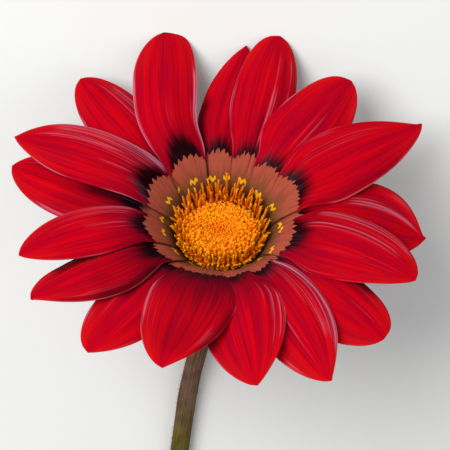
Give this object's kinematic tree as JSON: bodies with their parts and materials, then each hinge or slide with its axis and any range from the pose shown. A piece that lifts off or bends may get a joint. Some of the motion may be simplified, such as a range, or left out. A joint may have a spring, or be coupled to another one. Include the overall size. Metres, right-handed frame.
{
  "type": "gazania bloom with stem",
  "caption": "Picked gazania bloom with broad overlapping crimson petals, a terracotta-ringed cup, a golden disc and a leafless curved stem, lying on a surface.",
  "frame": {"origin": "centre of the object's footprint, on the surface that it lies on", "axes": "+Z up from the surface, +Y from the stem's cut end towards the bloom, +X to the right seen from above with +Y up"},
  "size_m": [0.0794, 0.1434, 0.0608],
  "materials": {
    "petal": "satin, crimson red with pale veins and a terracotta foot",
    "floret": "matte, golden orange",
    "bract": "satin, grey green",
    "stem": "matte, finely hairy, mauve brown to olive"
  },
  "bodies": {
    "root": {"ray_florets": "petal", "disc_florets": "floret", "involucre": "bract", "stem": "stem"}
  },
  "joints": []
}
